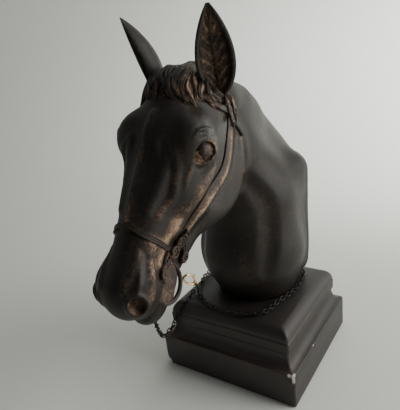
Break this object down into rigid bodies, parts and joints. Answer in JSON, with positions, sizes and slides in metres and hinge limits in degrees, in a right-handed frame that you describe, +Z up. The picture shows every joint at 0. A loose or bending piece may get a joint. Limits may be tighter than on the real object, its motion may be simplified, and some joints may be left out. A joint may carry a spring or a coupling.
{
  "type": "horse head statue",
  "caption": "Bust of a bridled horse with pricked ears and a short forelock, on a square moulded plinth, with a chain rein looped round the neck.",
  "frame": {"origin": "middle of the plinth's underside, the face that the statue stands on", "axes": "+Z up, -Y the way the horse looks and the plinth's front, +X the horse's left"},
  "size_m": [0.1323, 0.2365, 0.3064],
  "materials": {
    "plinth_resin": "black cast resin, satin, rubbed grey at the edges and chipped pale at one corner",
    "cast_resin": "black cast resin, satin, with a brown rubbed patina in the recesses and along the straps",
    "black_metal": "black, semi-gloss",
    "gold_metal": "polished gold tone"
  },
  "bodies": {
    "root": {"plinth": "plinth_resin", "horse_bust": "cast_resin", "rein_chain": "black_metal", "rein_clasp": "gold_metal"}
  },
  "joints": []
}
